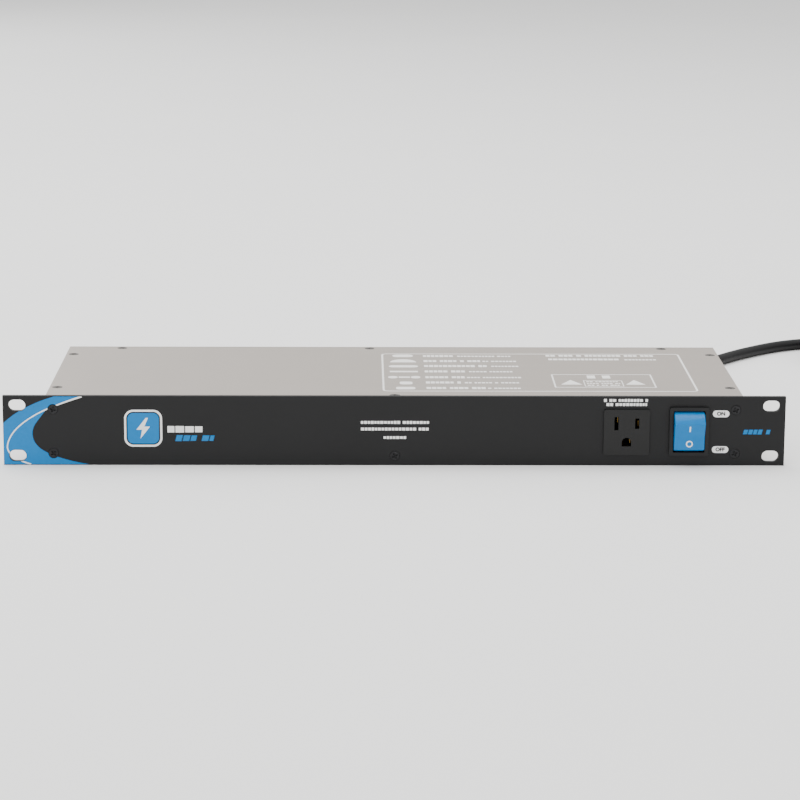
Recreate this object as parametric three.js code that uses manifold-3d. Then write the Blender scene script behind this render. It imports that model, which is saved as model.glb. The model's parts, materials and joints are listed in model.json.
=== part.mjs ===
// A 1U rack power strip: a folded steel chassis behind an aluminium rack panel, one outlet and a lit
// rocker switch on the front, eight outlets, a breaker and the mains lead at the back.
// Millimetres. X runs along the rack, Y points to the back and Z up. The origin is the centre of the
// chassis's underside, at the level that the unit rests on.

import * as THREE from 'three';
import { mergeVertices } from 'three/addons/utils/BufferGeometryUtils.js';
import Module from 'manifold-3d';

// ---- Driving dimensions ----

const panel = { width: 482.6, height: 43.66, thick: 3, frontY: -77.5 };
const rackSlot = { x: 232.55, pitch: 31.75, length: 10.5, height: 7.1 };
const chassis = { width: 430.6, backY: 74.9, top: 43.2, sheet: 1.2, lid: 1.5 };
const faceGap = 0.05; // between flat faces that bear on each other
const clearance = 0.3; // round anything that is cut by its neighbour or turned against it

const panelScrew = {
  head: 6,
  shank: 3,
  length: 7,
  places: [[-210.5, 35.15], [-210.5, 7.5], [0, 5.9], [210.5, 35.15], [210.5, 7.5]],
};
const lidScrew = {
  head: 6.5,
  shank: 3,
  length: 6,
  places: [
    [-210.3, 50.5], [-210.3, -49.9], [210.3, 50.5], [210.3, -49.9],
    [-180, 70.5], [-15, 70.5], [180, 70.5], [0, -71.3],
  ],
};
const screwFacets = 14;
const lidTab = { side: 11, reach: 9, hole: 2.1 };

const outlet = {
  width: 28.4,
  height: 28.8,
  proud: 1.5,
  face: 2, // thickness in front of the room behind each slot
  depth: 20,
  bodyWidth: 26.2,
  bodyHeight: 26.6,
};
const outletRoom = { slotHalf: 2.2, slotTall: 4.9, groundHalf: 3.4, groundTall: 3.3 }; // behind its face
const latch = { proud: 0.8, halfWidth: 3, y: [4.8, 9] }; // the ramps that hold an outlet in its window
const frontOutlet = { x: 143.1, z: 21.3 };
const rearOutlet = { centre: -15, pitch: 40, count: 8, z: 21.3 };
const bladeHole = { x: 6.4, z: 5.6, width: 2.5, neutral: 8.3, line: 6.6 };
const groundHole = { z: -6.1, width: 5.8, height: 5.5 };

const bus = { behind: 21, thick: 0.8, leaf: 0.5, leafLength: 17 };

const switchAt = { x: 181.7, z: 21.85 };
const bezel = { width: 24.4, height: 30.7, proud: 2, openWidth: 19.5, openHeight: 26.1 };
const switchBody = { width: 22, height: 28.6, backY: -56, wall: 1.5 };
const rocker = {
  width: 18.8,
  radius: 12.8,
  wall: 1.6,
  crease: 43.3, // degrees from the middle of its face to each crease
  reach: 113, // degrees to where each end wall stops
  dip: 1,
  rest: 15, // degrees that it stands tilted at rest
  behindFace: 2.6,
};
const rockerPin = { radius: 1.35, hole: 1.65, reach: 1.2 };
const plungerSleeve = { radius: 2.7, bore: 2, y: [-7, 4.5], floorY: -6.2 };
const plungerSpring = { radius: 1.35, wire: 0.25, length: 6.8, turns: 5, y: -5.8 };
const lever = { behindPivot: 10.4, length: 16, width: 5, thick: 1, rest: -8 };

const breaker = {
  x: 165,
  z: 21.8,
  bushing: 4.7,
  bushingProud: 5.5,
  hole: 5,
  button: 3.3,
  buttonStartY: 63,
  boreStartY: 60,
  bodyWidth: 14,
  bodyHeight: 28,
  bodyFrontY: 47,
};
const nut = { corners: 8.1, thick: 2.6 };

const relief = { x: 200, z: 21.8, length: 32, base: 7.5, tip: 5.2, hole: 8 };
const cord = { diameter: 7.8, sides: 10 };
const coil = { x: 364, y: 236.5, outer: 51.5, pitch: 7.9, lift: 1.2, layer: 7.8, turnsWide: 3 };
const plug = { width: 25, height: 24, length: 36, taper: 18, z: 12, y: 189.4 };
const blade = { length: 17.5, thick: 1.5, spread: 6.35, z: 4.2, line: 6.3, neutral: 7.9, root: 6 };
const groundPin = { length: 20.6, tip: 18.6, radius: 2.38, tipRadius: 1.4, z: -7.6 };

// The lead's route, before and after the coil.
const leadRoute = [
  [200, 107.2, 21.8], [200, 114, 21.8], [200.3, 126, 21.1], [201.8, 142, 18.5], [205, 159, 14.2],
  [210.2, 176, 9.5], [217.4, 191.5, 5.9], [226, 204.4, 4.2], [234.2, 214.3, 3.9], [241.6, 223, 3.9],
  [249.5, 232.6, 3.9], [258.5, 242.4, 3.9], [268.3, 252.1, 3.9], [278.6, 261.2, 3.9], [288.7, 269, 3.9],
  [298.5, 274.7, 3.9], [307.8, 278.6, 3.9], [322, 282.9, 3.9], [336, 285.8, 4.2], [350, 287.5, 4.8],
  [364, 288, 5.1],
];
const tailRoute = [
  [415.5, 236.5, 12.9], [415.5, 226, 12.9], [415.5, 214, 12.7], [415.5, 202, 12.3], [415.5, 189.7, 12],
];

// ---- Finishes ----

const finishes = {
  anodised: { color: 0x343435, roughness: 0.45, metalness: 0.3 },
  paintedSteel: { color: 0xb9b4ae, roughness: 0.5, metalness: 0.2 },
  blackSteel: { color: 0x1e1e20, roughness: 0.4, metalness: 0.7 },
  zinc: { color: 0xc9c8c4, roughness: 0.3, metalness: 1 },
  outletPlastic: { color: 0x2b2b2c, roughness: 0.45, metalness: 0 },
  blackNylon: { color: 0x232324, roughness: 0.55, metalness: 0 },
  lens: { color: 0x3a93c4, roughness: 0.2, metalness: 0 },
  glow: { color: 0xd8ecf6, roughness: 0.3, metalness: 0 },
  brass: { color: 0xb9974e, roughness: 0.3, metalness: 1 },
  springSteel: { color: 0xa9a9a6, roughness: 0.3, metalness: 1 },
  cordJacket: { color: 0x202021, roughness: 0.6, metalness: 0 },
  plugVinyl: { color: 0x242425, roughness: 0.5, metalness: 0 },
  circuitBoard: { color: 0x2f6b3c, roughness: 0.6, metalness: 0 },
  ferrite: { color: 0x6f4a2c, roughness: 0.4, metalness: 0.4 },
  capacitorFilm: { color: 0xc8b23c, roughness: 0.45, metalness: 0 },
  varistorDisc: { color: 0x2f5da8, roughness: 0.4, metalness: 0 },
  whiteWire: { color: 0xe6e4df, roughness: 0.5, metalness: 0 },
  greenWire: { color: 0x3a8a3f, roughness: 0.5, metalness: 0 },
};

// ---- Solids ----

const wasm = await Module();
wasm.setup();

const part = new THREE.Group();

// Turns a closed geometry into a solid that can be joined and cut.
function solid(geometry) {
  const bare = geometry.index ? geometry.clone() : geometry;
  bare.deleteAttribute('normal');
  bare.deleteAttribute('uv');
  const merged = mergeVertices(bare, 1e-4);
  return new wasm.Manifold(new wasm.Mesh({
    numProp: 3,
    vertProperties: new Float32Array(merged.attributes.position.array),
    triVerts: new Uint32Array(merged.index.array),
  }));
}

// Turns a solid back into a geometry with its own normals.
function surface(shape) {
  const mesh = shape.getMesh();
  const geometry = new THREE.BufferGeometry();
  geometry.setAttribute('position', new THREE.BufferAttribute(new Float32Array(mesh.vertProperties), 3));
  geometry.setIndex(new THREE.BufferAttribute(new Uint32Array(mesh.triVerts), 1));
  geometry.computeVertexNormals();
  return geometry;
}

function join(shapes) {
  return shapes.reduce((whole, shape) => whole.add(shape));
}

function cut(shape, tools) {
  return tools.reduce((rest, tool) => rest.subtract(tool), shape);
}

// A box from its limits along X, Y and Z.
function block([x0, x1], [y0, y1], [z0, z1]) {
  const geometry = new THREE.BoxGeometry(x1 - x0, y1 - y0, z1 - z0);
  geometry.translate((x0 + x1) / 2, (y0 + y1) / 2, (z0 + z1) / 2);
  return solid(geometry);
}

// An outline in X and Z, carried along Y.
function slabAlongY(outline, y0, y1, segments = 3) {
  const geometry = new THREE.ExtrudeGeometry(outline, {
    depth: y1 - y0,
    bevelEnabled: false,
    curveSegments: segments,
  });
  geometry.rotateX(Math.PI / 2);
  geometry.translate(0, y1, 0);
  return solid(geometry);
}

// An outline in Y and Z, carried along X.
function slabAlongX(outline, x0, x1) {
  const geometry = new THREE.ExtrudeGeometry(outline, { depth: x1 - x0, bevelEnabled: false });
  const turn = new THREE.Matrix4().makeBasis(
    new THREE.Vector3(0, 1, 0),
    new THREE.Vector3(0, 0, 1),
    new THREE.Vector3(1, 0, 0),
  );
  geometry.applyMatrix4(turn);
  geometry.translate(x0, 0, 0);
  return solid(geometry);
}

// A profile of [radius, height] points, lowest first, spun round the Y axis.
function spun(profile, segments = 16) {
  const points = profile.map(([radius, height]) => new THREE.Vector2(radius, height));
  return new THREE.LatheGeometry(points, segments);
}

// The corners of a regular polygon, for the section of a wire or tube and for small round holes.
function ring(radius, sides) {
  return Array.from({ length: sides }, (_, i) => {
    const angle = 2 * Math.PI * i / sides;
    return new THREE.Vector2(radius * Math.cos(angle), radius * Math.sin(angle));
  });
}

// A round bar along Y, from y0 to y1.
function bar(radius, y0, y1, x = 0, z = 0, segments = 16) {
  return solid(spun([[0, y0], [radius, y0], [radius, y1], [0, y1]], segments).translate(x, 0, z));
}

function roundedRectangle(width, height, radius, x = 0, z = 0) {
  const outline = new THREE.Shape();
  const right = x + width / 2 - radius;
  const left = x - width / 2 + radius;
  const top = z + height / 2 - radius;
  const bottom = z - height / 2 + radius;
  outline.absarc(right, top, radius, 0, Math.PI / 2, false);
  outline.absarc(left, top, radius, Math.PI / 2, Math.PI, false);
  outline.absarc(left, bottom, radius, Math.PI, 1.5 * Math.PI, false);
  outline.absarc(right, bottom, radius, 1.5 * Math.PI, 2 * Math.PI, false);
  outline.closePath();
  return outline;
}

// Adds a named mesh of its own finish, at a place and a turn in degrees about X, Y and Z.
function addPiece(name, shape, finish, place = [0, 0, 0], turn = [0, 0, 0]) {
  const geometry = shape.isBufferGeometry ? shape : surface(shape);
  const mesh = new THREE.Mesh(geometry, new THREE.MeshStandardMaterial(finishes[finish]));
  mesh.name = name;
  mesh.position.set(...place);
  mesh.rotation.set(...turn.map(THREE.MathUtils.degToRad));
  part.add(mesh);
}

const panelBackY = panel.frontY + panel.thick;
const wallY = panelBackY + faceGap;
const wallBackY = wallY + chassis.sheet;
const lidZ = chassis.top - chassis.lid;
const halfWidth = chassis.width / 2;
const rearOutletX = Array.from(
  { length: rearOutlet.count },
  (_, i) => rearOutlet.centre + (i - (rearOutlet.count - 1) / 2) * rearOutlet.pitch,
);

// ---- Rack panel, chassis tray and lid ----

// A countersink: a cone that is widest at y = 0 and narrows to the shank.
function countersink(headRadius, shankRadius, depth) {
  const above = -0.5;
  const profile = [
    [0, above], [headRadius, above], [headRadius, 0], [shankRadius, headRadius - shankRadius],
    [shankRadius, depth], [0, depth],
  ];
  return spun(profile, screwFacets);
}

function makePanel() {
  const outline = new THREE.Shape();
  outline.moveTo(-panel.width / 2, 0);
  outline.lineTo(panel.width / 2, 0);
  outline.lineTo(panel.width / 2, panel.height);
  outline.lineTo(-panel.width / 2, panel.height);
  outline.closePath();
  for (const side of [-1, 1]) {
    for (const level of [-0.5, 0.5]) {
      const z = panel.height / 2 + level * rackSlot.pitch;
      const corner = rackSlot.height / 2 - 0.01;
      outline.holes.push(roundedRectangle(rackSlot.length, rackSlot.height, corner, side * rackSlot.x, z));
    }
  }
  const gap = 2 * clearance;
  outline.holes.push(
    roundedRectangle(outlet.bodyWidth + gap, outlet.bodyHeight + gap, 1, frontOutlet.x, frontOutlet.z),
    roundedRectangle(switchBody.width + gap, switchBody.height + gap, 0.8, switchAt.x, switchAt.z),
  );
  const plate = slabAlongY(outline, panel.frontY, panelBackY);
  const sinks = panelScrew.places.map(([x, z]) => solid(
    countersink(panelScrew.head / 2 + clearance, panelScrew.shank / 2 + clearance, panel.thick + 1)
      .translate(x, panel.frontY, z),
  ));
  return cut(plate, sinks);
}

// A tab that is bent in from the nearest wall, under one lid screw.
function lidTabAt([x, y]) {
  const levels = [lidZ - faceGap - chassis.sheet, lidZ - faceGap];
  const half = lidTab.side / 2;
  if (Math.abs(x) > 200) {
    const wall = Math.sign(x) * (halfWidth - chassis.sheet / 2);
    const tip = Math.sign(x) * (halfWidth - lidTab.reach - chassis.sheet);
    return block([Math.min(wall, tip), Math.max(wall, tip)], [y - half, y + half], levels);
  }
  if (y > 0) {
    const tipY = chassis.backY - chassis.sheet - lidTab.reach;
    return block([x - half, x + half], [tipY, chassis.backY - chassis.sheet / 2], levels);
  }
  return block([x - half, x + half], [wallY + chassis.sheet / 2, wallBackY + lidTab.reach], levels);
}

function makeTray() {
  const wallTop = lidZ - faceGap;
  const across = [-halfWidth, halfWidth];
  const along = [wallY, chassis.backY];
  const inner = halfWidth - chassis.sheet;
  const tray = join([
    block(across, along, [0, chassis.sheet]),
    block(across, [wallY, wallBackY], [0, wallTop]),
    block([-halfWidth, -inner], along, [0, wallTop]),
    block([inner, halfWidth], along, [0, wallTop]),
    block(across, [chassis.backY - chassis.sheet, chassis.backY], [0, chassis.top]),
    ...lidScrew.places.map(lidTabAt),
  ]);
  const gap = 2 * clearance;
  const window = (width, height, x, z, walls) => (
    block([x - width / 2, x + width / 2], walls, [z - height / 2, z + height / 2])
  );
  const front = [wallY - 1, wallBackY + 1];
  const back = [chassis.backY - chassis.sheet - 1, chassis.backY + 1];
  return cut(tray, [
    window(outlet.bodyWidth + gap + 1, outlet.bodyHeight + gap + 1, frontOutlet.x, frontOutlet.z, front),
    window(switchBody.width + gap + 1, switchBody.height + gap + 1, switchAt.x, switchAt.z, front),
    ...rearOutletX.map((x) => (
      window(outlet.bodyWidth + gap, outlet.bodyHeight + gap, x, rearOutlet.z, back)
    )),
    bar(breaker.hole, ...back, breaker.x, breaker.z),
    bar(relief.hole + clearance, ...back, relief.x, relief.z),
    ...panelScrew.places.map(([x, z]) => bar(panelScrew.shank / 2 + clearance, ...front, x, z, 10)),
    ...lidScrew.places.map(([x, y]) => solid(
      new THREE.CylinderGeometry(lidTab.hole, lidTab.hole, 4, 10)
        .rotateX(Math.PI / 2)
        .translate(x, y, lidZ - chassis.sheet),
    )),
  ]);
}

function makeLid() {
  const lidBackY = chassis.backY - chassis.sheet - clearance;
  const plate = block([-halfWidth, halfWidth], [wallY, lidBackY], [lidZ, chassis.top]);
  const sinks = lidScrew.places.map(([x, y]) => solid(
    countersink(lidScrew.head / 2 + clearance, lidScrew.shank / 2 + clearance, chassis.lid + 1)
      .rotateX(-Math.PI / 2)
      .translate(x, y, chassis.top),
  ));
  return cut(plate, sinks);
}

// A countersunk screw with a cross recess, its head at y = 0 and its shank along +Y.
function screw({ head, shank, length }) {
  const land = 0.2;
  const profile = [
    [0, 0], [head / 2, 0], [head / 2, land], [shank / 2, land + (head - shank) / 2],
    [shank / 2, length], [0, length],
  ];
  const recess = { long: 0.28 * head, thin: 0.07 * head, deep: 1.3 };
  const arms = [[recess.long, recess.thin], [recess.thin, recess.long]].map(
    ([x, z]) => block([-x, x], [-1, recess.deep], [-z, z]),
  );
  return cut(solid(spun(profile, screwFacets)), arms);
}

addPiece('front_panel', makePanel(), 'anodised');
addPiece('base_tray', makeTray(), 'paintedSteel');
addPiece('top_cover', makeLid(), 'paintedSteel');

panelScrew.places.forEach(([x, z], i) => {
  addPiece(`panel_screw_${i + 1}`, screw(panelScrew), 'blackSteel', [x, panel.frontY, z]);
});
lidScrew.places.forEach(([x, y], i) => {
  addPiece(`cover_screw_${i + 1}`, screw(lidScrew), 'zinc', [x, y, chassis.top], [-90, 0, 0]);
});

// ---- Outlets and their contacts ----
// An outlet is drawn facing -Y: its flange bears on the plane y = 0.

function makeOutlet() {
  const flange = slabAlongY(roundedRectangle(outlet.width, outlet.height, 1.2), -outlet.proud, -faceGap, 1);
  const halfWide = outlet.bodyWidth / 2;
  const halfHigh = outlet.bodyHeight / 2;
  const body = block([-halfWide, halfWide], [-0.5, outlet.depth], [-halfHigh, halfHigh]);
  const latches = [-1, 1].map((side) => {
    const edge = side * halfWide;
    return block([edge - latch.proud, edge + latch.proud], latch.y, [-latch.halfWidth, latch.halfWidth]);
  });
  const front = [-outlet.proud - 1, outlet.face];
  const back = [outlet.face - outlet.proud, outlet.depth + 1];
  const ground = new THREE.Shape();
  const half = groundHole.width / 2;
  const top = groundHole.z + groundHole.height / 2;
  ground.moveTo(-half, groundHole.z - groundHole.height / 2);
  ground.lineTo(half, groundHole.z - groundHole.height / 2);
  ground.lineTo(half, top - half);
  ground.absarc(0, top - half, half, 0, Math.PI, false);
  ground.closePath();
  const holes = [[-1, bladeHole.neutral], [1, bladeHole.line]].flatMap(([side, height]) => {
    const x = side * bladeHole.x;
    const z = bladeHole.z;
    const { slotHalf, slotTall } = outletRoom;
    return [
      block([x - bladeHole.width / 2, x + bladeHole.width / 2], front, [z - height / 2, z + height / 2]),
      block([x - slotHalf, x + slotHalf], back, [z - slotTall, z + slotTall]),
    ];
  });
  const { groundHalf, groundTall } = outletRoom;
  const groundLevels = [groundHole.z - groundTall, groundHole.z + groundTall];
  const groundRoom = block([-groundHalf, groundHalf], back, groundLevels);
  const groundOpening = slabAlongY(ground, ...front, 4);
  return cut(join([flange, body, ...latches]), [...holes, groundOpening, groundRoom]);
}

// The two spring leaves that grip one plug blade or pin, open to the front, and reach back to backY.
function leaves(x, halfGap, z0, z1, backY) {
  const frontY = bus.behind + bus.thick - bus.leafLength;
  return [-1, 1].map((side) => {
    const edges = [x + side * halfGap, x + side * (halfGap + bus.leaf)].sort((a, b) => a - b);
    return block(edges, [frontY, backY], [z0, z1]);
  });
}

// The levels of the three poles, and where their leaves stand in an outlet.
const poles = {
  neutral: { x: -bladeHole.x, halfGap: 1, leafZ: [5, 9.6], strapZ: [6.6, 9.4] },
  line: { x: bladeHole.x, halfGap: 1, leafZ: [1.8, 6], strapZ: [2, 4.4] },
  ground: { x: 0, halfGap: 2.4, leafZ: [-8.2, -4], strapZ: [-8, -5] },
};

function makeBus({ x, halfGap, leafZ, strapZ }) {
  const outlets = rearOutletX.map((centre) => -centre);
  const ends = [Math.min(...outlets) - 10, Math.max(...outlets) + 10];
  const back = bus.behind + bus.thick;
  const strap = block(ends, [bus.behind, back], strapZ);
  return join([strap, ...outlets.flatMap((centre) => leaves(centre + x, halfGap, ...leafZ, back - 0.2))]);
}

function makeFrontContact({ x, halfGap, leafZ, strapZ }) {
  const back = bus.behind + bus.thick;
  const half = halfGap + bus.leaf + 0.2;
  const bridge = block([x - half, x + half], [bus.behind, back], strapZ);
  const middle = (strapZ[0] + strapZ[1]) / 2;
  const tab = block([x - 2.4, x + 2.4], [back - 0.2, back + 8], [middle - 0.4, middle + 0.4]);
  return join([bridge, tab, ...leaves(x, halfGap, ...leafZ, back - 0.2)]);
}

const outletShape = makeOutlet();
addPiece('front_outlet', outletShape, 'outletPlastic', [frontOutlet.x, panel.frontY, frontOutlet.z]);
rearOutletX.forEach((x, i) => {
  const place = [x, chassis.backY, rearOutlet.z];
  addPiece(`rear_outlet_${i + 1}`, outletShape, 'outletPlastic', place, [0, 0, 180]);
});
const frontPlace = [frontOutlet.x, panel.frontY, frontOutlet.z];
const rearPlace = [0, chassis.backY, rearOutlet.z];
for (const [pole, layout] of Object.entries(poles)) {
  addPiece(`front_outlet_${pole}_contact`, makeFrontContact(layout), 'brass', frontPlace);
  addPiece(`${pole}_bus`, makeBus(layout), 'brass', rearPlace, [0, 0, 180]);
}

// ---- Rocker switch ----
// Drawn round the rocker's pivot, which is the local origin.

const pivot = [switchAt.x, panel.frontY + rocker.behindFace, switchAt.z];
const leverY = lever.behindPivot;
const terminal = { width: 6.3, thick: 0.8, endY: 29, levels: [-8, 0, 8] };

function makeSwitchHousing() {
  const frontY = -rocker.behindFace;
  const backY = switchBody.backY - pivot[1];
  const rim = roundedRectangle(bezel.width, bezel.height, 1.5);
  const flange = slabAlongY(rim, frontY - bezel.proud, frontY - faceGap, 2);
  const body = slabAlongY(roundedRectangle(switchBody.width, switchBody.height, 0.6), frontY - 0.5, backY, 1);
  const latches = [-1, 1].map((side) => {
    const edge = side * switchBody.height / 2;
    return block([-4, 4], [2, 6], [edge - latch.proud, edge + latch.proud]);
  });
  const room = slabAlongY(
    roundedRectangle(bezel.openWidth, bezel.openHeight, 0.4),
    frontY - bezel.proud - 1,
    backY - switchBody.wall,
    1,
  );
  const pinHole = slabAlongX(new THREE.Shape(ring(rockerPin.hole, 12)), -15, 15);
  const slots = terminal.levels.map((z) => block([-3.5, 3.5], [backY - 3, backY + 1], [z - 0.8, z + 0.8]));
  return cut(join([flange, body, ...latches]), [room, pinHole, ...slots]);
}

// The side view of the rocker, shrunk by inset: a shallow V between two creases, and an arc round the
// pivot behind each crease. Y is forward-negative, so a crease lies at [-cos, sin] of its angle.
function rockerOutline(inset) {
  const radius = rocker.radius - inset;
  const crease = THREE.MathUtils.degToRad(rocker.crease);
  const reach = THREE.MathUtils.degToRad(rocker.reach);
  const faceY = rocker.radius * Math.cos(crease) - inset;
  const start = Math.acos(faceY / radius);
  const steps = 7;
  const outline = new THREE.Shape();
  outline.moveTo(-(faceY - rocker.dip), 0);
  for (const side of [1, -1]) {
    const arc = Array.from({ length: steps + 1 }, (_, i) => start + (reach - start) * i / steps);
    const angles = side === 1 ? arc : arc.reverse();
    angles.forEach((angle) => outline.lineTo(-radius * Math.cos(angle), side * radius * Math.sin(angle)));
  }
  outline.closePath();
  return outline;
}

function makeRocker() {
  const half = rocker.width / 2;
  const hollow = slabAlongX(rockerOutline(rocker.wall), -half + rocker.wall, half - rocker.wall);
  const backOpening = block([-half + rocker.wall, half - rocker.wall], [0, rocker.radius], [-11.1, 11.1]);
  const shell = cut(slabAlongX(rockerOutline(0), -half, half), [hollow, backOpening]);
  const { radius, bore, y, floorY } = plungerSleeve;
  const sleeve = cut(bar(radius, ...y, 0, 0, 14), [bar(bore, floorY, y[1] + 0.5, 0, 0, 14)]);
  const pins = [-1, 1].map((side) => {
    const edges = [side * (half - 0.5), side * (half + rockerPin.reach)].sort((a, b) => a - b);
    return slabAlongX(new THREE.Shape(ring(rockerPin.radius, 12)), ...edges);
  });
  return join([shell, sleeve, ...pins]);
}

// A compression spring along Y, a wire on a helix.
function makeSpring({ radius, wire, length, turns }) {
  const points = Array.from({ length: turns * 9 + 1 }, (_, i) => {
    const angle = 2 * Math.PI * i / 9;
    return new THREE.Vector3(radius * Math.cos(angle), length * i / (turns * 9), radius * Math.sin(angle));
  });
  return new THREE.ExtrudeGeometry(new THREE.Shape(ring(wire, 5)), {
    steps: turns * 9,
    bevelEnabled: false,
    extrudePath: new THREE.CatmullRomCurve3(points),
  });
}

function makeLever() {
  const { width, thick, length } = lever;
  const blade = block([-width / 2, width / 2], [-thick / 2, thick / 2], [-length / 2, length / 2]);
  const studs = [-1, 1].map((side) => bar(1.5, 0, thick / 2 + 0.4, 0, side * 6.2, 10));
  return join([blade, ...studs]);
}

function makeTerminal(startY) {
  const { width, thick, endY } = terminal;
  const blade = block([-width / 2, width / 2], [startY, endY], [-thick / 2, thick / 2]);
  const hole = new THREE.CylinderGeometry(0.9, 0.9, 3, 10).rotateX(Math.PI / 2).translate(0, endY - 4, 0);
  return cut(blade, [solid(hole)]);
}

const lampProfile = [[0, -3.6], [1.2, -3.4], [2, -2.7], [2.2, -1.8], [2.2, 3], [1, 3.4], [1, 17], [0, 17]];
const plungerProfile = [[0, 1.4], [1.6, 1.4], [1.6, 8.4], [1.2, 9.2], [0, 9.5]];

addPiece('switch_housing', makeSwitchHousing(), 'blackNylon', pivot);
addPiece('rocker', makeRocker(), 'lens', pivot, [rocker.rest, 0, 0]);
addPiece('plunger', spun(plungerProfile, 12), 'outletPlastic', pivot, [rocker.rest, 0, 0]);
const tilt = THREE.MathUtils.degToRad(rocker.rest);
const springPlace = [
  pivot[0],
  pivot[1] + plungerSpring.y * Math.cos(tilt),
  pivot[2] + plungerSpring.y * Math.sin(tilt),
];
addPiece('plunger_spring', makeSpring(plungerSpring), 'springSteel', springPlace, [rocker.rest, 0, 0]);
const leverPlace = [pivot[0], pivot[1] + leverY, pivot[2]];
addPiece('contact_lever', makeLever(), 'brass', leverPlace, [lever.rest, 0, 0]);
terminal.levels.forEach((z, i) => {
  const startY = z === 0 ? leverY + lever.thick / 2 + 0.35 : leverY + 2.3;
  addPiece(`switch_terminal_${i + 1}`, makeTerminal(startY), 'brass', [pivot[0], pivot[1], pivot[2] + z]);
});
addPiece('switch_lamp', spun(lampProfile, 12), 'glow', [pivot[0] + 5.1, pivot[1], pivot[2]]);

// ---- Breaker ----

const nutY = chassis.backY + faceGap;
const bushingEnd = nutY + breaker.bushingProud;

function makeBreaker() {
  const halfWide = breaker.bodyWidth / 2;
  const halfHigh = breaker.bodyHeight / 2;
  const bodyBackY = chassis.backY - chassis.sheet - clearance;
  const body = block(
    [breaker.x - halfWide, breaker.x + halfWide],
    [breaker.bodyFrontY, bodyBackY],
    [breaker.z - halfHigh, breaker.z + halfHigh],
  );
  const bushing = bar(breaker.bushing, bodyBackY - 1, bushingEnd, breaker.x, breaker.z, 20);
  const bore = bar(breaker.button + 0.4, breaker.boreStartY, bushingEnd + 1, breaker.x, breaker.z, 20);
  return cut(join([body, bushing]), [bore]);
}

function makeNut() {
  const endY = nutY + nut.thick;
  const hexagon = solid(spun([[0, nutY], [nut.corners, nutY], [nut.corners, endY], [0, endY]], 6));
  return cut(hexagon, [bar(breaker.bushing + clearance, nutY - 1, endY + 1, 0, 0, 20)]);
}

const buttonEnd = bushingEnd + 2.3;
const buttonProfile = [
  [0, breaker.buttonStartY], [breaker.button, breaker.buttonStartY], [breaker.button, buttonEnd - 0.5],
  [breaker.button - 0.5, buttonEnd], [0, buttonEnd],
];

addPiece('breaker_body', makeBreaker(), 'blackNylon');
addPiece('breaker_nut', makeNut(), 'zinc', [breaker.x, 0, breaker.z]);
addPiece('breaker_button', spun(buttonProfile, 18), 'outletPlastic', [breaker.x, 0, breaker.z]);

// ---- Filter, ground stud and inner wires ----

const board = { x: [62, 126], y: [-48, -8], z: [7, 8.6] };
const boardTop = board.z[1] + faceGap;

function makeBoard() {
  const posts = board.x.flatMap((x) => board.y.map((y) => {
    const inward = [x === board.x[0] ? x + 4 : x - 4, y === board.y[0] ? y + 4 : y - 4];
    const foot = chassis.sheet + faceGap;
    const post = new THREE.CylinderGeometry(2.5, 2.5, board.z[1] - foot, 10);
    return solid(post.rotateX(Math.PI / 2).translate(...inward, (board.z[1] + foot) / 2));
  }));
  return join([block(board.x, board.y, board.z), ...posts]);
}

const chokeProfile = [[4.5, 0], [11, 0], [11, 9], [4.5, 9], [4.5, 0]];
const varistorProfile = [[0, 0], [6.2, 0], [7, 0.8], [7, 4], [6.2, 4.8], [0, 4.8]];
const studProfile = [[0, 0], [5.5, 0], [5.5, 1], [4, 1], [4, 4], [2, 4], [2, 9], [0, 9]];

addPiece('filter_board', makeBoard(), 'circuitBoard');
addPiece('filter_choke', spun(chokeProfile, 24), 'ferrite', [78, -28, boardTop], [90, 0, 0]);
addPiece('filter_capacitor', block([96, 122], [-40, -28], [boardTop, boardTop + 16]), 'capacitorFilm');
addPiece('surge_varistor', spun(varistorProfile, 14), 'varistorDisc', [108, -20, boardTop + 7]);
addPiece('ground_screw', spun(studProfile, 14), 'zinc', [195, 20, chassis.sheet + faceGap], [90, 0, 0]);

// A round tube through a list of points, with a step every few millimetres.
function tube(route, radius, steps, sides = 8) {
  const points = route.map((point) => new THREE.Vector3(...point));
  return new THREE.ExtrudeGeometry(new THREE.Shape(ring(radius, sides)), {
    steps,
    bevelEnabled: false,
    extrudePath: new THREE.CatmullRomCurve3(points, false, 'centripetal'),
  });
}

const supplyWires = {
  line: [[196, 70, 26], [194, 60, 28], [185, 44, 29], [174, 40, 28], [165, 43, 26], [165, 46.4, 25]],
  neutral: [
    [196, 70, 20], [195, 50, 17], [180, 30, 12], [160, 18, 8], [140, 0, 8], [133, -10, 9], [128.5, -20, 9.5],
  ],
  ground: [[204, 70, 20], [205, 60, 16], [205, 45, 12], [203, 32, 9], [200, 25, 7.6]],
};
const wireFinish = { line: 'blackNylon', neutral: 'whiteWire', ground: 'greenWire' };
for (const [pole, route] of Object.entries(supplyWires)) {
  addPiece(`${pole}_wire`, tube(route, 1.3, 16, 6), wireFinish[pole]);
}

// ---- Mains lead ----

function makeRelief() {
  const neck = relief.hole - 0.2;
  const wallIn = -chassis.sheet - 3;
  const profile = [
    [0, wallIn], [neck - 1, wallIn], [neck, wallIn + 1], [neck, faceGap],
    [relief.hole + 2.2, faceGap], [relief.hole + 2.2, 2.4],
    [relief.base, 3], [relief.tip, relief.length], [0, relief.length],
  ];
  return spun(profile, 24);
}

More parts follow.
